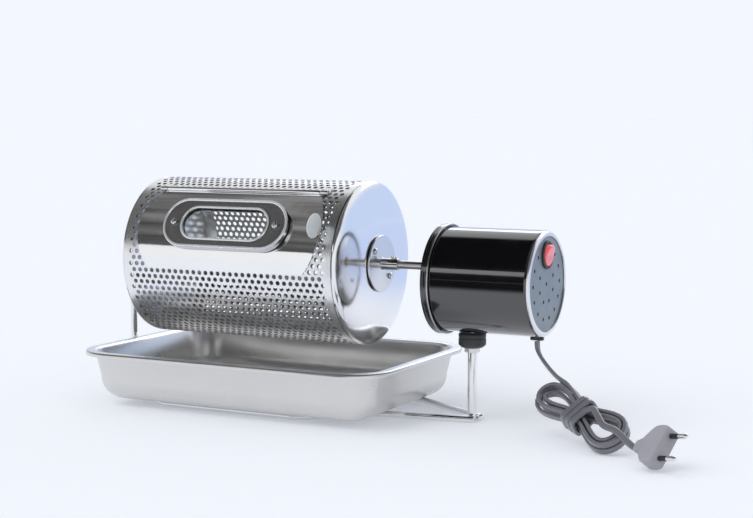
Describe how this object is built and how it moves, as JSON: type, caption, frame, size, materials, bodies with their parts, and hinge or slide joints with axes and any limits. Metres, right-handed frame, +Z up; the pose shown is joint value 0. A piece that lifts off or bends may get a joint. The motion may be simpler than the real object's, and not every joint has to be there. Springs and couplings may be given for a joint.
{
  "type": "home coffee roaster",
  "caption": "Perforated steel roasting drum with a glazed door, turned by a round motor on a wire stand over a bean tray, with its mains cord and plug.",
  "frame": {"origin": "middle of the bottom of the box round everything but the cord and plug, on the floor", "axes": "+X along the drum to the motor, -Y the door side, +Z up"},
  "size_m": [0.5683, 0.2216, 0.198],
  "materials": {
    "polished_steel": "polished",
    "satin_steel": "satin",
    "screw_steel": "bright",
    "black_enamel": "gloss",
    "grey_enamel": "satin",
    "dark_plastic": "matte",
    "red_plastic": "translucent gloss",
    "bronze": "machined",
    "grey_cord": "matte",
    "grey_plug": "matte",
    "clear_glass": "clear"
  },
  "bodies": {
    "stand": {"base_rod_front": "polished_steel", "base_rod_rear": "polished_steel", "post_left": "polished_steel", "post_right": "polished_steel", "lock_collar": "satin_steel", "gear_case": "satin_steel", "gear_divider": "satin_steel", "stator_case": "satin_steel", "stud_nut": "screw_steel", "motor_screw_1": "screw_steel", "motor_screw_2": "screw_steel", "plug_pin_1": "screw_steel", "plug_pin_2": "screw_steel", "motor_can": "black_enamel", "motor_lid": "black_enamel", "rear_plate": "grey_enamel", "switch_body": "dark_plastic", "strain_relief": "dark_plastic", "stub_bush": "bronze", "shaft_bush": "bronze", "cord_lead": "grey_cord", "cord_hank": "grey_cord", "cord_wrap": "grey_cord", "cord_tail": "grey_cord", "plug_body": "grey_plug"},
    "drum": {"cap_left": "polished_steel", "cap_right": "polished_steel", "drum_shell": "polished_steel", "hub_plate_left": "satin_steel", "hub_plate_right": "satin_steel", "drive_shaft": "satin_steel", "stub_shaft": "satin_steel", "stirring_vane_1": "satin_steel", "stirring_vane_2": "satin_steel", "stirring_vane_3": "satin_steel", "hinge_pin": "satin_steel", "hinge_foot_left": "satin_steel", "hinge_foot_right": "satin_steel", "hub_screw_right_1": "screw_steel", "hub_screw_right_2": "screw_steel", "hub_screw_left_1": "screw_steel", "hub_screw_left_2": "screw_steel", "set_screw_left": "screw_steel", "set_screw_right": "screw_steel", "drive_gear": "bronze"},
    "door": {"door_panel": "polished_steel", "door_tab": "polished_steel", "window_frame": "satin_steel", "window_glass": "clear_glass", "window_screw_1": "screw_steel", "window_screw_2": "screw_steel"},
    "tray": {"bean_tray": "satin_steel"},
    "knob": {"clamp_knob": "dark_plastic"},
    "rocker": {"switch_rocker": "red_plastic"},
    "rotor": {"motor_rotor": "satin_steel"}
  },
  "joints": [
    {"name": "drum_spin", "type": "hinge", "parent": "stand", "child": "drum", "pos_m": [-0.05872, 0.004, 0.128], "axis": [1, 0, 0], "continuous": true},
    {"name": "door_hinge", "type": "hinge", "parent": "drum", "child": "door", "pos_m": [-0.05872, -0.03447, 0.18957], "axis": [-1, 0, 0], "range_deg": [0, 120]},
    {"name": "tray_slide", "type": "slide", "parent": "stand", "child": "tray", "axis": [0, -1, 0], "range_m": [0, 0.21]},
    {"name": "knob_turn", "type": "hinge", "parent": "stand", "child": "knob", "pos_m": [0.14078, 0.004, 0.0671], "axis": [0, 0, 1], "continuous": true},
    {"name": "switch_rock", "type": "hinge", "parent": "stand", "child": "rocker", "pos_m": [0.20658, 0.004, 0.1419], "axis": [0, -1, 0], "range_deg": [0, 24]},
    {"name": "rotor_spin", "type": "hinge", "parent": "stand", "child": "rotor", "pos_m": [0.143, 0.004, 0.1055], "axis": [1, 0, 0], "continuous": true}
  ],
  "couplings": [
    {"joint": "rotor_spin", "follows": "drum_spin", "ratio": -3.5}
  ]
}
